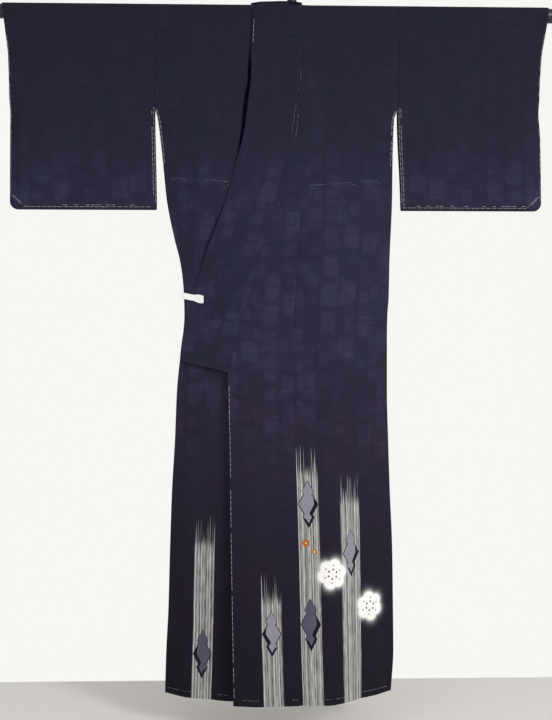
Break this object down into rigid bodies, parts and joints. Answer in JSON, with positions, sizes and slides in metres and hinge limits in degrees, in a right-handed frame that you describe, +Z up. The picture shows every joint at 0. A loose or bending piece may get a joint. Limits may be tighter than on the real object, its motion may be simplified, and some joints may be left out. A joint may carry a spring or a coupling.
{
  "type": "homongi kimono on a hanger bar",
  "caption": "Dark purple-navy homongi kimono hung open on a round black hanger bar, with pale stripe bands and small motifs rising from the hem.",
  "frame": {"origin": "inside of the hanger hook's crown, where the hook hangs", "axes": "+Z up, +X to the viewer's right of the front, which is the wearer's left, -Y to the front"},
  "size_m": [1.39, 0.1508, 1.7758],
  "materials": {
    "silk_body": "matt",
    "silk_sleeve": "matt",
    "silk_collar": "matt",
    "white_clip": "satin",
    "black_bar": "satin",
    "hook_metal": "satin"
  },
  "bodies": {
    "root": {"body_left": "silk_body", "body_right": "silk_body", "gore_left": "silk_body", "gore_right": "silk_body", "over_collar": "silk_collar", "collar_left": "silk_collar", "collar_right": "silk_collar", "sleeve_left": "silk_sleeve", "sleeve_right": "silk_sleeve", "wrap_clip": "white_clip", "hanger_bar": "black_bar", "hanger_hook": "hook_metal"}
  },
  "joints": []
}
